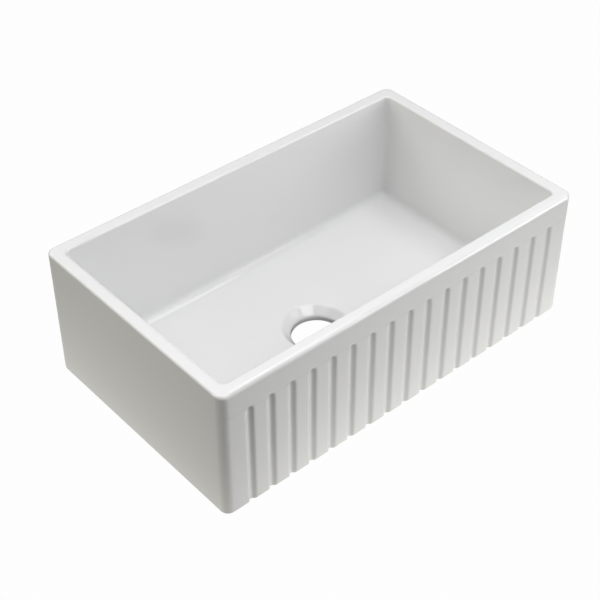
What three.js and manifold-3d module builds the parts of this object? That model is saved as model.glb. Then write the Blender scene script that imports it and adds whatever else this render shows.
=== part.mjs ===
// A farmhouse kitchen sink: one casting of white glazed fireclay with a fluted apron.
//
// Millimetres, +Z up. The origin is the middle of the underside, +X runs along the sink
// and the apron faces -Y. The casting is an outer block, lofted through rounded rectangles,
// less the bowl (a second loft that ends in the drain) and less one cutter for each flute.

import * as THREE from 'three';
import { mergeVertices } from 'three/addons/utils/BufferGeometryUtils.js';
import Module from 'manifold-3d';

// ---- Driving dimensions -----------------------------------------------------------------

// The outside
const length = 762;
const width = 457;
const height = 254;
const cornerRadius = 16;
const baseEdgeRadius = 8;
const rimFrontRadius = 8.5;
const rimSideRadius = 4.5;

// The bowl
const wallThickness = 23;
const rimInnerRadius = 4;
const bowlCornerRadius = 10;
const leastCornerRadius = 6;
const wallDraft = THREE.MathUtils.degToRad(1.5);
const floorThickness = 31;
const floorFilletRadius = 16;
const floorFall = 5;

// The drain: the floor rounds over a soft crease into a cone, and the cone over a lip into
// a short straight hole
const drainOffsetY = -5;
const drainDishRadius = 62;
const drainCreaseRadius = 10;
const drainLipRadius = 8;
const drainHoleRadius = 46;
const drainHoleHeight = 7;
const drainFootRadius = 1.5;

// The apron: a plain band over a fluted field that lies slightly behind it
const bandHeight = 44;
const bandStep = 0.6;
const bandStepSlope = 3;
const fluteCount = 17;
const fluteEndMargin = 53;
const fluteDepth = 5;
const fluteCoreRadius = 6.5;
const fluteArrisRadius = 6;
const fluteRunIn = 5;

// How finely the round stretches are divided
const cornerSteps = 7;
const edgeSteps = 4;
const filletSteps = 6;
const creaseSteps = 4;
const lipSteps = 6;
const longSideSteps = 20;
const shortSideSteps = 10;
const fluteArcSteps = 3;
const fluteEndSteps = 20;

// How far a cutter stands clear of the surface that it starts from
const cutterOverrun = 6;

// ---- Loops of points ----------------------------------------------------------------------

// A rounded rectangle as a list of { x, y, nx, ny }, with (nx, ny) pointing outward. It runs
// anticlockwise from the right side. sideSteps divides the straight sides, long and short.
function roundedRectangle(halfX, halfY, radius, sideSteps = { long: 1, short: 1 }) {
  const r = Math.min(radius, halfX, halfY);
  const corners = [
    { x: halfX - r, y: halfY - r, steps: sideSteps.long },
    { x: -halfX + r, y: halfY - r, steps: sideSteps.short },
    { x: -halfX + r, y: -halfY + r, steps: sideSteps.long },
    { x: halfX - r, y: -halfY + r, steps: sideSteps.short },
  ];
  const loop = [];
  corners.forEach((corner, index) => {
    for (let i = 0; i <= cornerSteps; i += 1) {
      const angle = (index + i / cornerSteps) * Math.PI / 2;
      const nx = Math.cos(angle);
      const ny = Math.sin(angle);
      loop.push({ x: corner.x + r * nx, y: corner.y + r * ny, nx, ny });
    }
    const from = loop[loop.length - 1];
    const next = corners[(index + 1) % corners.length];
    const to = { x: next.x + r * from.nx, y: next.y + r * from.ny };
    for (let i = 1; i < corner.steps; i += 1) {
      const t = i / corner.steps;
      loop.push({
        x: THREE.MathUtils.lerp(from.x, to.x, t),
        y: THREE.MathUtils.lerp(from.y, to.y, t),
        nx: from.nx,
        ny: from.ny,
      });
    }
  });
  return loop;
}

// A circle about the drain with as many points as a bowl loop, and with its rearmost point
// where the middle of the loop's rear side is.
function drainCircle(radius) {
  const count = 4 * cornerSteps + 2 * longSideSteps + 2 * shortSideSteps;
  const rearmost = cornerSteps + longSideSteps / 2;
  return Array.from({ length: count }, (_, i) => {
    const angle = Math.PI / 2 + (i - rearmost) * 2 * Math.PI / count;
    return {
      x: radius * Math.cos(angle),
      y: drainOffsetY + radius * Math.sin(angle),
    };
  });
}

function ringAt(loop, z) {
  return loop.map((point) => new THREE.Vector3(point.x, point.y, z));
}

// ---- Solids -----------------------------------------------------------------------------

// A closed skin through rings of equal length, listed from the lowest up, with flat ends.
function loft(rings) {
  const count = rings[0].length;
  const positions = rings.flatMap((ring) => ring.flatMap((point) => point.toArray()));
  const triangles = [];
  for (let level = 0; level + 1 < rings.length; level += 1) {
    for (let i = 0; i < count; i += 1) {
      const a = level * count + i;
      const b = level * count + (i + 1) % count;
      triangles.push(a, b, b + count, a, b + count, a + count);
    }
  }
  const flatEnd = (ring, start, facesUp) => {
    const outline = ring.map((point) => new THREE.Vector2(point.x, point.y));
    for (const [a, b, c] of THREE.ShapeUtils.triangulateShape(outline, [])) {
      triangles.push(start + a, start + (facesUp ? b : c), start + (facesUp ? c : b));
    }
  };
  flatEnd(rings[0], 0, false);
  flatEnd(rings[rings.length - 1], (rings.length - 1) * count, true);
  const geometry = new THREE.BufferGeometry();
  geometry.setAttribute('position', new THREE.Float32BufferAttribute(positions, 3));
  geometry.setIndex(triangles);
  return geometry;
}

// Where a quarter round from one face to the next stands after step i: (away, along) go
// from (0, 1) on the first face to (1, 0) on the second.
function quarterRound(steps) {
  return Array.from({ length: steps + 1 }, (_, i) => {
    const angle = (i / steps) * Math.PI / 2;
    return { away: 1 - Math.cos(angle), along: 1 - Math.sin(angle) };
  });
}

// The outer rim edge is rounder over the apron than on the other three sides.
function rimOuterRadius(point) {
  const towardApron = Math.max(0, -point.ny);
  return THREE.MathUtils.lerp(rimSideRadius, rimFrontRadius, towardApron ** 2);
}

function outerBlock() {
  const outline = roundedRectangle(length / 2, width / 2, cornerRadius);
  const ring = (insetOf, zOf, setBack = 0) => outline.map((point) => new THREE.Vector3(
    point.x - point.nx * insetOf(point),
    point.y - point.ny * (insetOf(point) + setBack * Math.max(0, -point.ny)),
    zOf(point),
  ));
  const base = quarterRound(edgeSteps).reverse().map(({ away, along }) => ring(
    () => baseEdgeRadius * away,
    () => baseEdgeRadius * along,
    bandStep,
  ));
  const bandFoot = height - bandHeight;
  const field = [
    ring(() => 0, () => bandFoot - bandStepSlope, bandStep),
    ring(() => 0, () => bandFoot),
  ];
  const rim = quarterRound(edgeSteps).map(({ away, along }) => ring(
    (point) => rimOuterRadius(point) * away,
    (point) => height - rimOuterRadius(point) * along,
  ));
  return loft([...base, ...field, ...rim]);
}

// The space inside the bowl, from under the drain hole to over the rim. Its walls lean in
// towards the floor, and the floor falls from its fillet straight to the drain's dish.
function bowlSpace() {
  const sides = { long: longSideSteps, short: shortSideSteps };
  const wallRing = (wallFoot, inset, z) => {
    const lean = (height - wallFoot) * Math.tan(wallDraft);
    const halfX = length / 2 - wallThickness - lean - inset;
    const halfY = width / 2 - wallThickness - lean - inset;
    const radius = Math.max(bowlCornerRadius - inset, leastCornerRadius);
    return ringAt(roundedRectangle(halfX, halfY, radius, sides), z);
  };
  const fillet = quarterRound(filletSteps).reverse().map(({ away, along }) => wallRing(
    floorThickness + floorFilletRadius,
    floorFilletRadius * away,
    floorThickness + floorFilletRadius * along,
  ));
  const rimEdge = quarterRound(edgeSteps).map(({ away, along }) => wallRing(
    height - rimInnerRadius,
    -rimInnerRadius * away,
    height - rimInnerRadius * along,
  ));
  const overRim = ringAt(rimEdge[edgeSteps], height + cutterOverrun);
  return loft([...drainRings(), ...fillet, ...rimEdge, overRim]);
}

// The rings of the drain from below the hole up to the floor. The cone's line runs down from
// the corner that it makes with the floor to where it touches the lip's arc.
function drainRings() {
  const ring = (radius, z) => ringAt(drainCircle(radius), z);
  const arc = (centre, radius, from, to, steps) => Array.from({ length: steps + 1 }, (_, i) => {
    const angle = THREE.MathUtils.lerp(from, to, i / steps);
    return ring(centre.x + radius * Math.cos(angle), centre.y + radius * Math.sin(angle));
  });
  const footRadius = Math.min(drainFootRadius, drainHoleHeight / 2);
  const foot = quarterRound(edgeSteps).map(({ away, along }) => ring(
    drainHoleRadius + footRadius * along,
    footRadius * away,
  ));
  const corner = new THREE.Vector2(drainDishRadius, floorThickness - floorFall);
  const lipCentre = new THREE.Vector2(drainHoleRadius + drainLipRadius, drainHoleHeight);
  const toCorner = corner.clone().sub(lipCentre);
  const reach = toCorner.length();
  const touchAngle = toCorner.angle() + Math.acos(drainLipRadius / reach);
  const lip = arc(lipCentre, drainLipRadius, Math.PI, touchAngle, lipSteps);
  const coneLength = Math.sqrt(reach ** 2 - drainLipRadius ** 2);
  const tangent = Math.tan((touchAngle - Math.PI / 2) / 2);
  const creaseRadius = Math.min(drainCreaseRadius, coneLength / tangent / 2);
  const creaseCentre = new THREE.Vector2(corner.x + creaseRadius * tangent, corner.y - creaseRadius);
  const crease = arc(creaseCentre, creaseRadius, touchAngle, Math.PI / 2, creaseSteps);
  const below = ring(drainHoleRadius + footRadius, -cutterOverrun);
  return [below, ...foot, ...lip, ...crease];
}

// Half of a flute's section as { across, depth } from its middle to where it meets the
// face: a hollow arc at the core and a rounded arris that ends flush.
function fluteHalfSection() {
  const reach = fluteCoreRadius + fluteArrisRadius;
  const sweep = Math.acos((reach - fluteDepth) / reach);
  const halfWidth = reach * Math.sin(sweep);
  const points = [];
  for (let i = 0; i <= fluteArcSteps; i += 1) {
    const angle = sweep * i / fluteArcSteps;
    points.push({
      across: fluteCoreRadius * Math.sin(angle),
      depth: fluteDepth - fluteCoreRadius * (1 - Math.cos(angle)),
    });
  }
  for (let i = fluteArcSteps - 1; i >= 0; i -= 1) {
    const angle = sweep * i / fluteArcSteps;
    points.push({
      across: halfWidth - fluteArrisRadius * Math.sin(angle),
      depth: fluteArrisRadius * (1 - Math.cos(angle)),
    });
  }
  return points;
}

// One flute runs out through the bottom edge, where it draws in by fluteRunIn as the edge
// rounds off, and ends at the top in a round arch: the same section turned about an axis
// square to the apron.
function fluteCutter(x) {
  const half = fluteHalfSection();
  const halfWidth = half[half.length - 1].across;
  const face = -width / 2 + bandStep;
  const archCentre = height - bandHeight - halfWidth;

  const shaftRing = (setBack, z) => [
    new THREE.Vector3(x - halfWidth, face - cutterOverrun, z),
    new THREE.Vector3(x + halfWidth, face - cutterOverrun, z),
    ...half.slice().reverse().map(({ across, depth }) => (
      new THREE.Vector3(x + across, face + setBack + depth, z)
    )),
    ...half.slice(1).map(({ across, depth }) => (
      new THREE.Vector3(x - across, face + setBack + depth, z)
    )),
  ];
  const baseEdge = quarterRound(edgeSteps).reverse().map(({ away, along }) => (
    shaftRing(fluteRunIn * away, baseEdgeRadius * along)
  ));
  const shaft = loft([
    shaftRing(fluteRunIn, -cutterOverrun),
    ...baseEdge,
    shaftRing(0, archCentre),
  ]);

  const profile = [
    new THREE.Vector2(0, face - cutterOverrun),
    new THREE.Vector2(halfWidth, face - cutterOverrun),
    ...half.slice().reverse().map(({ across, depth }) => new THREE.Vector2(across, face + depth)),
  ];
  const arch = new THREE.LatheGeometry(profile, fluteEndSteps);
  arch.translate(x, 0, archCentre);
  return solid(shaft).add(solid(arch));
}

// ---- Joining and cutting --------------------------------------------------------------------

const wasm = await Module();
wasm.setup();

function solid(geometry) {
  const bare = geometry.clone();
  bare.deleteAttribute('normal');
  bare.deleteAttribute('uv');
  const welded = mergeVertices(bare, 1e-4);
  return new wasm.Manifold(new wasm.Mesh({
    numProp: 3,
    vertProperties: new Float32Array(welded.attributes.position.array),
    triVerts: new Uint32Array(welded.index.array),
  }));
}

function geometryOf(manifold) {
  const mesh = manifold.getMesh();
  const geometry = new THREE.BufferGeometry();
  geometry.setAttribute('position', new THREE.BufferAttribute(mesh.vertProperties, 3));
  geometry.setIndex(new THREE.BufferAttribute(mesh.triVerts, 1));
  geometry.computeVertexNormals();
  return geometry;
}

function sinkBasin() {
  const pitch = (length - 2 * fluteEndMargin) / (fluteCount - 1);
  let casting = solid(outerBlock()).subtract(solid(bowlSpace()));
  for (let i = 0; i < fluteCount; i += 1) {
    casting = casting.subtract(fluteCutter(-length / 2 + fluteEndMargin + pitch * i));
  }
  const glaze = new THREE.MeshStandardMaterial({ color: 0xf3f2ee, roughness: 0.12, metalness: 0 });
  const mesh = new THREE.Mesh(geometryOf(casting), glaze);
  mesh.name = 'sink_basin';
  return mesh;
}

const group = new THREE.Group();
group.name = 'farmhouse_apron_front_sink';
group.add(sinkBasin());

export default group;
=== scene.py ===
"""The looks of a farmhouse kitchen sink: one casting of white glazed fireclay with a fluted apron.

The casting has a hole through it, so its whole skin is one closed profile carried round a
closed loop: underside, base edge, outer wall, rim, bowl wall, floor, drain dish, hole.
Lengths are in millimetres until the mesh is made. The apron faces -Y and +Z is up.
"""

import math

import bpy
import numpy as np
from mathutils import Matrix, Vector


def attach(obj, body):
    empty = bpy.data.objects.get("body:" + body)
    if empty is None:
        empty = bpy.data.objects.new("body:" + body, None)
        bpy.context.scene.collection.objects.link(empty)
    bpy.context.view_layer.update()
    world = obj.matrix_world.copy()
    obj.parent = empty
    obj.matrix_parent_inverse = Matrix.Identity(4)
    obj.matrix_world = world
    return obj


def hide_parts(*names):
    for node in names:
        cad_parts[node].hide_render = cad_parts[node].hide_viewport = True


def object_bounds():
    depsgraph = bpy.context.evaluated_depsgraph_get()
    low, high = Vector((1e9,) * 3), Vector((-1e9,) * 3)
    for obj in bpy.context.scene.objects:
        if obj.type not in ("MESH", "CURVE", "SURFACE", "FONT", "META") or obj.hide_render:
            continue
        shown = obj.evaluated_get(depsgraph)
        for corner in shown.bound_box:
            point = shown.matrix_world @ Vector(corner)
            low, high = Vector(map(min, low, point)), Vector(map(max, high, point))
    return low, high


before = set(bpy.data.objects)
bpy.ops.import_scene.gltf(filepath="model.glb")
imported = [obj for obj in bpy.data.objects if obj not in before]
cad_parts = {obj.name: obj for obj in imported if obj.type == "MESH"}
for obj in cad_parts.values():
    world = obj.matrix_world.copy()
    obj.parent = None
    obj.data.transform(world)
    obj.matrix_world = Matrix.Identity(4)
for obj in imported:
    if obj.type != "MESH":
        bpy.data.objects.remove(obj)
cad_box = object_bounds()

MM = 0.001

# The outside. Length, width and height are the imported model's, to a tenth of a millimetre.
LENGTH, WIDTH, HEIGHT = (round((high - low) / MM, 1) for low, high in zip(*cad_box))
CORNER_RADIUS = 16.0
BASE_EDGE_RADIUS = 8.0
RIM_FRONT_RADIUS = 8.5
RIM_SIDE_RADIUS = 4.5

# The bowl
WALL_THICKNESS = 23.0
RIM_INNER_RADIUS = 4.0
BOWL_CORNER_RADIUS = 10.0
LEAST_CORNER_RADIUS = 6.0
WALL_DRAFT = math.radians(1.5)
FLOOR_THICKNESS = 31.0
FLOOR_FILLET_RADIUS = 16.0
FLOOR_FALL = 5.0

# The drain
DRAIN_Y = -5.0
DISH_RADIUS = 62.0
CREASE_RADIUS = 10.0
LIP_RADIUS = 8.0
HOLE_RADIUS = 46.0
HOLE_HEIGHT = 7.0
FOOT_RADIUS = 1.5

# The apron
BAND_HEIGHT = 44.0
BAND_STEP = 0.6
BAND_STEP_SLOPE = 3.0
FLUTE_COUNT = 17
FLUTE_END_MARGIN = 53.0
FLUTE_DEPTH = 5.0
FLUTE_CORE_RADIUS = 6.5
FLUTE_ARRIS_RADIUS = 6.0
FLUTE_RUN_IN = 5.0

MIDDLE_FLUTE = (FLUTE_COUNT - 1) / 2
FLUTE_PITCH = (LENGTH - 2 * FLUTE_END_MARGIN) / (FLUTE_COUNT - 1)
FLUTE_REACH = FLUTE_CORE_RADIUS + FLUTE_ARRIS_RADIUS
FLUTE_HALF_WIDTH = math.sqrt(FLUTE_REACH**2 - (FLUTE_REACH - FLUTE_DEPTH) ** 2)
BAND_FOOT = HEIGHT - BAND_HEIGHT
ARCH_CENTRE = BAND_FOOT - FLUTE_HALF_WIDTH

# How many steps the mesh takes round the casting
FLAT_STEPS = 3
FLUTE_STEPS = 20
CORNER_STEPS = 14
SIDE_STEPS = 28
BACK_STEPS = 40

# How many steps the mesh takes along the profile, in its order from the base edge inwards. The
# close rows that shape the arches run on a little above the foot of the band.
BASE_EDGE_STEPS = 9
SHAFT_STEPS = 13
ARCH_STEPS = 21
ARCH_ROWS_TOP = BAND_FOOT + 1
BAND_STEPS = 4
RIM_OUTER_STEPS = 11
RIM_FLAT_STEPS = 4
RIM_INNER_STEPS = 8
WALL_STEPS = 11
FILLET_STEPS = 14
FLOOR_STEPS = 10
CREASE_STEPS = 9
CONE_STEPS = 6
LIP_STEPS = 14
HOLE_STEPS = 4
FOOT_STEPS = 4
UNDERSIDE_STEPS = 9

# The glaze's thickness, from 0 to 1: on flat clay, what is added for each unit of hollowness
# (1 / mm) or lost for each unit of bulge, and how often it is spread to its neighbours
EVEN_THICKNESS = 0.5
THICKNESS_BY_BEND = 1.6
THICKNESS_SPREADS = 3


# ---- The loop that the profile is carried round ---------------------------------------------


def stations(start, end, steps):
    """Evenly spaced values from start to end, with both ends."""
    return np.linspace(start, end, steps + 1)


def apron_stations():
    """x of the mesh columns along the straight of the apron, from the left end: each flute
    has its own columns, close together across the hollow and wide apart on the flat."""
    half_pitch = FLUTE_PITCH / 2
    across = np.concatenate(
        [
            stations(-half_pitch, -FLUTE_HALF_WIDTH, FLAT_STEPS)[:-1],
            stations(-FLUTE_HALF_WIDTH, FLUTE_HALF_WIDTH, FLUTE_STEPS),
            stations(FLUTE_HALF_WIDTH, half_pitch, FLAT_STEPS)[1:-1],
        ]
    )
    centres = FLUTE_PITCH * (np.arange(FLUTE_COUNT) - MIDDLE_FLUTE)
    field = (centres[:, None] + across[None, :]).ravel()
    end = LENGTH / 2 - CORNER_RADIUS
    field_end = centres[-1] + half_pitch
    return np.concatenate(
        [
            stations(-end, -field_end, FLAT_STEPS)[:-1],
            field,
            stations(field_end, end, FLAT_STEPS)[:-1],
        ]
    )


def loop_plan():
    """Columns of the mesh, anticlockwise from the left end of the apron, as rows of (sx, sy,
    nx, ny): a rounded rectangle of half size h and corner radius r has its point at
    s * (h - r) + n * r. Straight sides keep n, and corners keep s while n turns."""
    turn = np.arange(CORNER_STEPS) / CORNER_STEPS * math.pi / 2

    def straight(s_from, s_to, steps, normal):
        t = (np.arange(steps) / steps)[:, None]
        s = np.array(s_from) * (1 - t) + np.array(s_to) * t
        return np.hstack([s, np.tile(normal, (steps, 1))])

    def corner(s, start):
        a = turn + math.radians(start)
        return np.column_stack(
            [np.full_like(a, s[0]), np.full_like(a, s[1]), np.cos(a), np.sin(a)]
        )

    sx = apron_stations() / (LENGTH / 2 - CORNER_RADIUS)
    apron = np.column_stack(
        [sx, np.full_like(sx, -1), np.zeros_like(sx), np.full_like(sx, -1)]
    )
    return np.vstack(
        [
            apron,
            corner((1, -1), -90),
            straight((1, -1), (1, 1), SIDE_STEPS, (1, 0)),
            corner((1, 1), 0),
            straight((1, 1), (-1, 1), BACK_STEPS, (0, 1)),
            corner((-1, 1), 90),
            straight((-1, 1), (-1, -1), SIDE_STEPS, (-1, 0)),
            corner((-1, -1), 180),
        ]
    )


# The plan's columns, how far each faces the front, and which ones lie on the apron's straight
SX, SY, NX, NY = loop_plan().T
TOWARD_APRON = np.maximum(0, -NY)
ON_APRON = NY < -0.9999


def rounded_ring(half_x, half_y, radius, z):
    """One ring of points: the plan's rounded rectangle at height z."""
    x = SX * (half_x - radius) + NX * radius
    y = SY * (half_y - radius) + NY * radius
    return np.column_stack([x, y, np.broadcast_to(z, x.shape)])


def smooth_step(t):
    """0 before 0, 1 after 1, and 3t^2 - 2t^3 between."""
    t = np.clip(t, 0, 1)
    return t * t * (3 - 2 * t)


# ---- The outside ----------------------------------------------------------------------------


def flute_depth(x, z):
    """How deep the flutes are at (x, z) on the apron. With d the distance from the nearest
    flute's middle line, or from its arch centre above that point, the hollow is a core arc
    of radius c, depth - (c - sqrt(c^2 - d^2)), then an arris arc of radius a that ends
    flush at the half width w, a - sqrt(a^2 - (w - d)^2)."""
    nearest = np.clip(np.round(x / FLUTE_PITCH), -MIDDLE_FLUTE, MIDDLE_FLUTE) * FLUTE_PITCH
    d = np.hypot(x - nearest, np.maximum(0, z - ARCH_CENTRE))
    c, a, w = FLUTE_CORE_RADIUS, FLUTE_ARRIS_RADIUS, FLUTE_HALF_WIDTH
    core = FLUTE_DEPTH - (c - np.sqrt(np.maximum(0, c * c - d * d)))
    arris = a - np.sqrt(np.maximum(0, a * a - np.maximum(0, w - d) ** 2))
    depth = np.where(d < w * c / (c + a), core, arris)
    return np.where(d < w, depth, 0)


def outer_ring(inset, z):
    """A ring of the outside at height z, drawn in along its normals by inset. The apron
    stands back by the band step under the band, and by the flutes' depth, and where the
    base edge draws in by its whole radius the flutes draw in by FLUTE_RUN_IN only."""
    ring = rounded_ring(LENGTH / 2, WIDTH / 2, CORNER_RADIUS, z)
    below = 1 - smooth_step((ring[:, 2] - BAND_FOOT) / BAND_STEP_SLOPE + 1)
    ring[:, 0] -= NX * inset
    ring[:, 1] -= NY * inset
    ring[:, 1] += TOWARD_APRON**2 * BAND_STEP * below
    lost = inset * (1 - FLUTE_RUN_IN / BASE_EDGE_RADIUS)
    hollow = np.maximum(0, flute_depth(ring[:, 0], ring[:, 2]) - lost)
    ring[:, 1] += np.where(ON_APRON, hollow, 0)
    return ring


def outside_rings():
    """From the underside's edge up to the flat of the rim: the base edge is a quarter
    round, inset b(1 - sin a) at height b(1 - cos a), and so is the outer edge of the rim,
    whose radius is larger over the apron than on the other three sides."""
    b = BASE_EDGE_RADIUS
    rings = []
    for a in stations(0, math.pi / 2, BASE_EDGE_STEPS):
        rings.append(outer_ring(b * (1 - math.sin(a)), b * (1 - math.cos(a))))
    rim = RIM_SIDE_RADIUS + (RIM_FRONT_RADIUS - RIM_SIDE_RADIUS) * TOWARD_APRON**2
    shafts = stations(b, ARCH_CENTRE, SHAFT_STEPS)[1:]
    arches = stations(ARCH_CENTRE, ARCH_ROWS_TOP, ARCH_STEPS)[1:]
    band = stations(ARCH_ROWS_TOP, HEIGHT - RIM_FRONT_RADIUS, BAND_STEPS)[1:-1]
    for z in np.concatenate([shafts, arches, band]):
        rings.append(outer_ring(0, z))
    for a in stations(0, math.pi / 2, RIM_OUTER_STEPS):
        rings.append(outer_ring(rim * (1 - math.cos(a)), HEIGHT - rim * (1 - math.sin(a))))
    return rings


# ---- The bowl, the drain and the underside --------------------------------------------------


def wall_ring(inset, z):
    """A ring of the bowl's wall. The wall leans in towards the floor by the draft, and the
    rim edge and the floor fillet draw it in or out by inset, which the corners follow."""
    lean = (HEIGHT - max(z, FLOOR_THICKNESS + FLOOR_FILLET_RADIUS)) * math.tan(WALL_DRAFT)
    half_x = LENGTH / 2 - WALL_THICKNESS - lean - inset
    half_y = WIDTH / 2 - WALL_THICKNESS - lean - inset
    radius = max(BOWL_CORNER_RADIUS - inset, LEAST_CORNER_RADIUS)
    return rounded_ring(half_x, half_y, radius, z)


def between(start, end, steps):
    """The rings that divide the straight way from one ring to another, ends left out."""
    return [start + (end - start) * i / steps for i in range(1, steps)]


def bowl_rings():
    """From the rim's inner edge, a quarter round, down the wall to the foot of the fillet,
    a quarter round that ends level."""
    r, f = RIM_INNER_RADIUS, FLOOR_FILLET_RADIUS
    foot = FLOOR_THICKNESS + f
    rings = []
    for a in stations(0, math.pi / 2, RIM_INNER_STEPS):
        rings.append(wall_ring(-r * (1 - math.sin(a)), HEIGHT - r * (1 - math.cos(a))))
    for z in stations(HEIGHT - r, foot, WALL_STEPS)[1:-1]:
        rings.append(wall_ring(0, z))
    for a in stations(0, math.pi / 2, FILLET_STEPS):
        rings.append(wall_ring(f * (1 - math.cos(a)), foot - f * math.sin(a)))
    return rings


def drain_ring(toward, radius, z):
    """A circle about the drain, each point in the direction of its point of toward."""
    angle = np.arctan2(toward[:, 1] - DRAIN_Y, toward[:, 0])
    x, y = radius * np.cos(angle), DRAIN_Y + radius * np.sin(angle)
    return np.column_stack([x, y, np.full_like(x, z)])


def drain_rings(floor_edge):
    """The floor, which falls straight from the fillet to the crease; the crease, an arc
    that ends at the cone's slope; the cone; the lip; and the short hole, its foot eased.
    The cone's line comes from the corner C that it makes with the floor, and touches the
    lip's arc, of radius p and centre O, at the angle atan2(C - O) + acos(p / |C - O|)."""

    def arc(centre, z, r, start, end, steps):
        return [
            drain_ring(floor_edge, centre + r * math.cos(a), z + r * math.sin(a))
            for a in stations(start, end, steps)
        ]

    level = FLOOR_THICKNESS - FLOOR_FALL
    lip_centre = HOLE_RADIUS + LIP_RADIUS
    away, over = DISH_RADIUS - lip_centre, level - HOLE_HEIGHT
    touch = math.atan2(over, away) + math.acos(LIP_RADIUS / math.hypot(away, over))
    crease_centre = DISH_RADIUS + CREASE_RADIUS * math.tan((touch - math.pi / 2) / 2)
    crease_z = level - CREASE_RADIUS
    crease = arc(crease_centre, crease_z, CREASE_RADIUS, math.pi / 2, touch, CREASE_STEPS)
    lip = arc(lip_centre, HOLE_HEIGHT, LIP_RADIUS, touch, math.pi, LIP_STEPS)
    foot_centre = HOLE_RADIUS + FOOT_RADIUS
    foot = arc(foot_centre, FOOT_RADIUS, FOOT_RADIUS, math.pi, 1.5 * math.pi, FOOT_STEPS)
    floor = between(floor_edge, crease[0], FLOOR_STEPS)
    cone = between(crease[-1], lip[0], CONE_STEPS)
    wall = between(lip[-1], foot[0], HOLE_STEPS)
    return floor + crease + cone + lip + wall + foot


def casting_grid():
    """The whole skin as an array of rings, each next to the one before it and the last next
    to the first."""
    outside = outside_rings()
    bowl = bowl_rings()
    drain = drain_rings(bowl[-1])
    rim_flat = between(outside[-1], bowl[0], RIM_FLAT_STEPS)
    underside = between(drain[-1], outside[0], UNDERSIDE_STEPS)
    return np.array(outside + rim_flat + bowl + drain + underside)


def glaze_thickness(grid):
    """How much glaze lies at each point: less where it draws off a sharp edge, and more where
    it gathers in a hollow. It is the even thickness less the curvature, dn.dp / dp.dp summed
    over both ways of the grid and scaled, kept from 0 to 1 and spread to its neighbours."""

    def around(values, axis):
        return np.roll(values, -1, axis) - np.roll(values, 1, axis)

    along, across = around(grid, 1), around(grid, 0)
    normal = np.cross(along, across)
    normal /= np.maximum(np.linalg.norm(normal, axis=2, keepdims=True), 1e-9)
    bend = np.zeros(grid.shape[:2])
    for axis, step in ((1, along), (0, across)):
        turned = (around(normal, axis) * step).sum(2)
        bend += turned / np.maximum((step * step).sum(2), 1e-6)
    thickness = np.clip(EVEN_THICKNESS - THICKNESS_BY_BEND * bend, 0, 1)
    for _ in range(THICKNESS_SPREADS):
        for axis in (0, 1):
            spread = np.roll(thickness, 1, axis) + np.roll(thickness, -1, axis)
            thickness = 0.5 * thickness + 0.25 * spread
    return thickness


def make_casting():
    """The grid as a mesh of quads, closed both ways round."""
    grid = casting_grid()
    rows, columns = grid.shape[:2]
    index = np.arange(rows * columns).reshape(rows, columns)
    right = np.roll(index, -1, 1)
    faces = np.stack(
        [index, right, np.roll(right, -1, 0), np.roll(index, -1, 0)], axis=2
    ).reshape(-1, 4)
    mesh = bpy.data.meshes.new("sink_casting")
    mesh.from_pydata((grid.reshape(-1, 3) * MM).tolist(), [], faces.tolist())
    mesh.polygons.foreach_set("use_smooth", np.ones(len(faces), bool))
    glaze = mesh.attributes.new("glaze_thickness", "FLOAT", "POINT")
    glaze.data.foreach_set("value", glaze_thickness(grid).ravel().astype(np.float32))
    mesh.validate()
    mesh.update()
    casting = bpy.data.objects.new("sink_casting", mesh)
    bpy.context.scene.collection.objects.link(casting)
    return casting


# ---- Materials ------------------------------------------------------------------------------

# The glaze's colours: thin over an edge, even on the flat, deep in a hollow, and in its clouds
THIN_GLAZE = (0.775, 0.77, 0.757, 1)
EVEN_GLAZE = (0.78, 0.78, 0.779, 1)
DEEP_GLAZE = (0.77, 0.78, 0.782, 1)
CLOUDY_GLAZE = (0.77, 0.768, 0.76, 1)
CLOUD_STRENGTH = 0.1
GLAZE_IOR = 1.5
GLAZE_ROUGHNESS = (0.02, 0.04)

# The glaze's thickness at which it shows its thin colour, and its deep one
THIN_THICKNESS = 0.15
DEEP_THICKNESS = 0.8

# The clay of the bare foot, between two colours, and how much rougher than the glaze it is
DARK_BISCUIT = (0.60, 0.52, 0.42, 1)
PALE_BISCUIT = (0.74, 0.66, 0.55, 1)
BISCUIT_ADDED_ROUGHNESS = 0.75

# How many marks of each pattern there are in a metre, about
CLOUD_SCALE = 7.0
GLOSS_SCALE = 16.0
RIPPLE_SCALE = 28.0
WIPE_SCALE = 90.0
PEEL_SCALE = 260.0
GRIT_SCALE = 1400.0

# The part of a noise's range that is spread over a change, and the part that shows as clouds
NOISE_RANGE = (0.3, 0.7)
CLOUD_RANGE = (0.35, 0.75)

# How high each relief stands, and how far up the glaze is wiped off and how sharply it ends,
# in metres
RIPPLE_HEIGHT = 0.00005
PEEL_HEIGHT = 0.000003
GRIT_HEIGHT = 0.00015
WIPED_HEIGHT = (0.0006, 0.0016)
WIPED_EDGE = 0.0002


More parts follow.
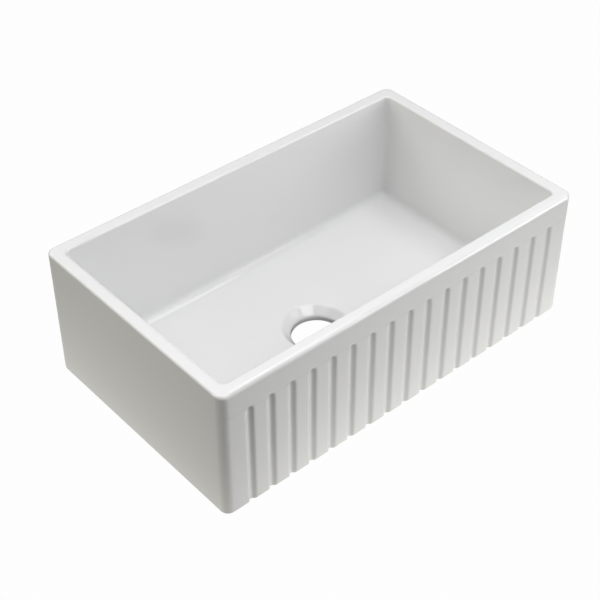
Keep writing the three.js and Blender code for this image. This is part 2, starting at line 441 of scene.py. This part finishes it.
class Nodes:
    """Short words for building the nodes of a material or of the surroundings."""

    def __init__(self, tree):
        self.tree = tree

    def add(self, kind, inputs=None, **settings):
        node = self.tree.nodes.new(kind)
        for key, value in settings.items():
            setattr(node, key, value)
        for key, value in (inputs or {}).items():
            self.feed(node.inputs[key], value)
        return node

    def feed(self, socket, value):
        if isinstance(value, bpy.types.NodeSocket):
            self.tree.links.new(value, socket)
        else:
            socket.default_value = value

    def noise(self, at, scale, detail=2.0, roughness=0.5):
        inputs = {"Vector": at, "Scale": scale, "Detail": detail, "Roughness": roughness}
        return self.add("ShaderNodeTexNoise", inputs).outputs["Fac"]

    def ramp(self, value, low, high, to_low, to_high):
        inputs = {0: value, 1: low, 2: high, 3: to_low, 4: to_high}
        return self.add("ShaderNodeMapRange", inputs).outputs[0]

    def blend(self, factor, first, second):
        inputs = {0: factor, 6: first, 7: second}
        node = self.add("ShaderNodeMix", inputs, data_type="RGBA")
        return node.outputs[2]

    def math(self, operation, first, second=0.0):
        inputs = {0: first, 1: second}
        return self.add("ShaderNodeMath", inputs, operation=operation).outputs[0]

    def vector(self, operation, first, second):
        inputs = {0: first, 1: second}
        node = self.add("ShaderNodeVectorMath", inputs, operation=operation)
        gives_number = operation in ("DISTANCE", "DOT_PRODUCT")
        return node.outputs["Value" if gives_number else "Vector"]

    def bump(self, height, distance, normal=None):
        inputs = {"Height": height, "Distance": distance, "Strength": 1.0}
        if normal is not None:
            inputs["Normal"] = normal
        return self.add("ShaderNodeBump", inputs).outputs["Normal"]


def new_material(name):
    """A material, and the words for building its nodes."""
    material = bpy.data.materials.new(name)
    material.use_nodes = True
    return material, Nodes(material.node_tree)


def fireclay_glaze():
    """White glaze over fireclay. It is a little warmer where it draws thin over edges and
    cooler where it gathers, very faintly clouded, with a slight ripple and orange peel. The
    foot that stands in the kiln is wiped bare, to buff biscuit clay."""
    material, n = new_material("white_fireclay_glaze")
    at = n.add("ShaderNodeTexCoord").outputs["Object"]
    thickness = n.add("ShaderNodeAttribute", attribute_name="glaze_thickness").outputs["Fac"]

    evenness = n.ramp(thickness, THIN_THICKNESS, EVEN_THICKNESS, 0, 1)
    glaze = n.blend(evenness, THIN_GLAZE, EVEN_GLAZE)
    depth = n.ramp(thickness, EVEN_THICKNESS, DEEP_THICKNESS, 0, 1)
    glaze = n.blend(depth, glaze, DEEP_GLAZE)
    clouds = n.ramp(n.noise(at, CLOUD_SCALE, 3.0), *CLOUD_RANGE, 0, CLOUD_STRENGTH)
    glaze = n.blend(clouds, glaze, CLOUDY_GLAZE)
    glaze_roughness = n.ramp(n.noise(at, GLOSS_SCALE), *NOISE_RANGE, *GLAZE_ROUGHNESS)
    rippled = n.bump(n.noise(at, RIPPLE_SCALE, 1.0), RIPPLE_HEIGHT)
    glaze_normal = n.bump(n.noise(at, PEEL_SCALE), PEEL_HEIGHT, rippled)

    grit = n.noise(at, GRIT_SCALE, 3.0, 0.7)
    biscuit = n.blend(grit, DARK_BISCUIT, PALE_BISCUIT)
    biscuit_normal = n.bump(grit, GRIT_HEIGHT)

    height = n.add("ShaderNodeSeparateXYZ", {0: at}).outputs["Z"]
    wiped = n.ramp(n.noise(at, WIPE_SCALE, 3.0), *NOISE_RANGE, *WIPED_HEIGHT)
    bare = n.ramp(n.math("SUBTRACT", height, wiped), -WIPED_EDGE, WIPED_EDGE, 1, 0)
    added = n.math("MULTIPLY", bare, BISCUIT_ADDED_ROUGHNESS)
    inputs = {0: bare, 4: glaze_normal, 5: biscuit_normal}
    normal = n.add("ShaderNodeMix", inputs, data_type="VECTOR").outputs[1]

    shader = n.tree.nodes["Principled BSDF"]
    n.feed(shader.inputs["Base Color"], n.blend(bare, glaze, biscuit))
    n.feed(shader.inputs["Roughness"], n.math("ADD", glaze_roughness, added))
    n.feed(shader.inputs["IOR"], GLAZE_IOR)
    n.feed(shader.inputs["Normal"], normal)
    return material


# ---- Camera, floor and light ----------------------------------------------------------------

# The camera: its bearing from the origin and its roll, in degrees; how far off it is, and how
# far it is moved to its own right and up, in millimetres; its focal length and the width of the
# photograph, in pixels of the photograph
CAMERA_AZIMUTH = -40.63
CAMERA_ELEVATION = 40.25
CAMERA_ROLL = -0.31
CAMERA_DISTANCE = 2440.67
CAMERA_MOVED_RIGHT = -26.59
CAMERA_MOVED_UP = 64.1
FOCAL_LENGTH_PIXELS = 1377.4
PHOTO_WIDTH_PIXELS = 600
SENSOR_WIDTH = 36

# The nearest and the farthest that the camera sees, in metres
NEAREST_SEEN = 0.1
FARTHEST_SEEN = 60

# Light is a little warm from the left and from the floor, and a little cool from above
SKY = (0.995, 1.0, 1.04)
COOL = (1.0, 1.0, 1.01)
WARM = (1.03, 1.02, 0.94)
FLOOR_WARM = (1.02, 1.01, 0.95, 1)

# The floor: half its side and how far it lies under the sink, in metres; how white it shows;
# how much light it throws back on the sink close by, and how far from the sink's sides that
# light reaches, in metres
FLOOR_HALF_SIDE = 14.0
FLOOR_DROP = 0.0004
FLOOR_WHITE = 0.985
FLOOR_BOUNCE = 0.9
FLOOR_REACH = 0.25

# The floor throws back less light on the left: x where it is weakest and where it is full, in
# metres, and its share at the weakest
LEFT_DIMMING = (-0.5, -0.2, 0.4)

# The floor under the drain hole is in the dark: how far from the hole's middle it is dark,
# and how far from it fully lit, in metres
UNDER_HOLE = (0.047, 0.056)

# Soft boxes that all face the middle of the sink: azimuth from the front towards the right and
# elevation in degrees, width and height in metres, radiance, and colour. How far off they are
# and what they face is in metres too.
SINK_MIDDLE = (0, 0, 0.1)
BOX_DISTANCE = 2.6
SOFT_BOXES = (
    ("key", 0, 50, 1.4, 0.6, 4.5, COOL),
    ("high", 20, 65, 1.5, 1.0, 3.0, COOL),
    ("overhead", 0, 90, 1.0, 1.0, 2.0, SKY),
    ("front_right", 40, 25, 1.2, 1.2, 3.4, COOL),
    ("front_right_low", 45, 8, 1.0, 0.8, 5.0, COOL),
    ("left_high", 270, 60, 1.2, 1.0, 2.5, WARM),
    ("left", 255, 16, 1.0, 0.6, 9.0, WARM),
)

# A pale back wall and a pale ceiling: azimuth, elevation and radiance at the middle, and the
# power of the cosine by which each fades
ROOM_GLOWS = ((180, 42, 1.5), (0, 90, 0.7))
GLOW_POWER = 8.0

# A strip of light on the ceiling at the right: x, y, z, width and length in metres, and
# radiance. The fillet at the foot of the bowl mirrors it as a thin bright line.
CEILING_STRIP = (1.05, 0.0, 2.6, 0.6, 0.8, 4.0)


def bearing(azimuth, elevation):
    """The direction at that azimuth and elevation in degrees. Azimuth 0 is towards -Y, where
    the apron faces, and 90 is towards +X."""
    a, e = math.radians(azimuth), math.radians(elevation)
    return Vector((math.sin(a) * math.cos(e), -math.cos(a) * math.cos(e), math.sin(e)))


def make_camera():
    """Looks from the front left and above, from where the sink's outline, rim and flutes fall
    as they do in the photograph."""
    back = bearing(CAMERA_AZIMUTH, CAMERA_ELEVATION)
    turn, roll = math.radians(CAMERA_AZIMUTH), math.radians(CAMERA_ROLL)
    level = Vector((math.cos(turn), math.sin(turn), 0))
    upright = back.cross(level)
    right = math.cos(roll) * level + math.sin(roll) * upright
    up = -math.sin(roll) * level + math.cos(roll) * upright
    place = back * CAMERA_DISTANCE + right * CAMERA_MOVED_RIGHT + up * CAMERA_MOVED_UP
    data = bpy.data.cameras.new("camera")
    data.sensor_width = SENSOR_WIDTH
    data.lens = FOCAL_LENGTH_PIXELS / PHOTO_WIDTH_PIXELS * SENSOR_WIDTH
    data.clip_start = NEAREST_SEEN
    data.clip_end = FARTHEST_SEEN
    camera = bpy.data.objects.new("camera", data)
    camera.matrix_world = Matrix((right, up, back)).transposed().to_4x4()
    camera.location = place * MM
    bpy.context.scene.collection.objects.link(camera)
    bpy.context.scene.camera = camera


def floor_light(n, at):
    """What the floor throws back on the sink at a point: bounce * exp(-(d / reach)^2 / 2),
    with d the distance from the sink's sides, dimmer on the left, and nothing under the
    drain hole."""
    corner = (LENGTH / 2 * MM, WIDTH / 2 * MM, 0)
    opposite = tuple(-v for v in corner)
    beside = n.vector("MAXIMUM", n.vector("MINIMUM", at, corner), opposite)
    away = n.vector("DISTANCE", at, beside)
    fall = n.math("MULTIPLY", n.math("POWER", away, 2.0), -0.5 / FLOOR_REACH**2)
    thrown = n.math("MULTIPLY", n.math("EXPONENT", fall), FLOOR_BOUNCE)

    x = n.add("ShaderNodeSeparateXYZ", {0: at}).outputs["X"]
    dim_x, full_x, share = LEFT_DIMMING
    thrown = n.math("MULTIPLY", thrown, n.ramp(x, dim_x, full_x, share, 1))

    from_hole = n.vector("DISTANCE", at, (0, DRAIN_Y * MM, 0))
    return n.math("MULTIPLY", thrown, n.ramp(from_hole, *UNDER_HOLE, 0, 1))


def make_floor():
    """A plain white floor, which shows to the camera as an even white glow and lights the sink
    with the glow of floor_light. Its underneath is clear."""
    half = FLOOR_HALF_SIDE
    corners = [(-half, -half), (half, -half), (half, half), (-half, half)]
    mesh = bpy.data.meshes.new("studio_floor")
    mesh.from_pydata([(x, y, -FLOOR_DROP) for x, y in corners], [], [(0, 1, 2, 3)])
    floor = bpy.data.objects.new("studio_floor", mesh)
    bpy.context.scene.collection.objects.link(floor)

    material, n = new_material("studio_floor_white")
    at = n.add("ShaderNodeTexCoord").outputs["Object"]
    seen = n.add("ShaderNodeLightPath").outputs["Is Camera Ray"]
    inputs = {0: seen, 2: floor_light(n, at), 3: FLOOR_WHITE}
    glow = n.add("ShaderNodeMix", inputs).outputs[0]
    colour = n.blend(seen, FLOOR_WARM, (1, 1, 1, 1))
    light = n.add("ShaderNodeEmission", {"Color": colour, "Strength": glow}).outputs[0]
    clear = n.add("ShaderNodeBsdfTransparent").outputs[0]
    underneath = n.add("ShaderNodeNewGeometry").outputs["Backfacing"]
    both = n.add("ShaderNodeMixShader", {0: underneath, 1: light, 2: clear}).outputs[0]
    n.feed(n.tree.nodes["Material Output"].inputs["Surface"], both)
    mesh.materials.append(material)


def make_surround():
    """The room beyond the lights is dark, apart from soft glows, each of which fades from its
    middle as a power of the cosine."""
    world = bpy.context.scene.world or bpy.data.worlds.new("studio")
    bpy.context.scene.world = world
    world.use_nodes = True
    n = Nodes(world.node_tree)
    at = n.add("ShaderNodeTexCoord").outputs["Generated"]
    total = 0.0
    for azimuth, elevation, radiance in ROOM_GLOWS:
        toward = n.vector("DOT_PRODUCT", at, bearing(azimuth, elevation))
        cosine = n.math("MAXIMUM", toward, 0.0)
        lobe = n.math("MULTIPLY", n.math("POWER", cosine, GLOW_POWER), radiance)
        total = n.math("ADD", lobe, total)
    background = n.tree.nodes["Background"]
    n.feed(background.inputs["Strength"], total)
    n.feed(background.inputs["Color"], (*SKY, 1))


def add_lamp(name, place, toward, width, height, radiance, colour):
    """A rectangular lamp at a place, facing along toward. Its power is
    pi * width * height * radiance."""
    data = bpy.data.lights.new(name, "AREA")
    data.shape = "RECTANGLE"
    data.size = width
    data.size_y = height
    data.energy = math.pi * width * height * radiance
    data.color = colour
    lamp = bpy.data.objects.new(name, data)
    lamp.location = place
    lamp.rotation_euler = toward.to_track_quat("-Z", "Y").to_euler()
    bpy.context.scene.collection.objects.link(lamp)


def make_lights():
    """Soft boxes on a dome round the sink, and a strip on the ceiling."""
    for name, azimuth, elevation, width, height, radiance, colour in SOFT_BOXES:
        out = bearing(azimuth, elevation) * BOX_DISTANCE
        add_lamp(name, Vector(SINK_MIDDLE) + out, -out, width, height, radiance, colour)
    x, y, z, width, length, radiance = CEILING_STRIP
    down = Vector((0, 0, -1))
    add_lamp("ceiling_strip", (x, y, z), down, width, length, radiance, SKY)


# ---- The scene -----------------------------------------------------------------------------

make_camera()
make_floor()
make_surround()
make_lights()
bpy.context.scene.view_settings.view_transform = "Standard"

casting = make_casting()
casting.data.materials.append(fireclay_glaze())
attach(casting, "root")
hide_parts("sink_basin")
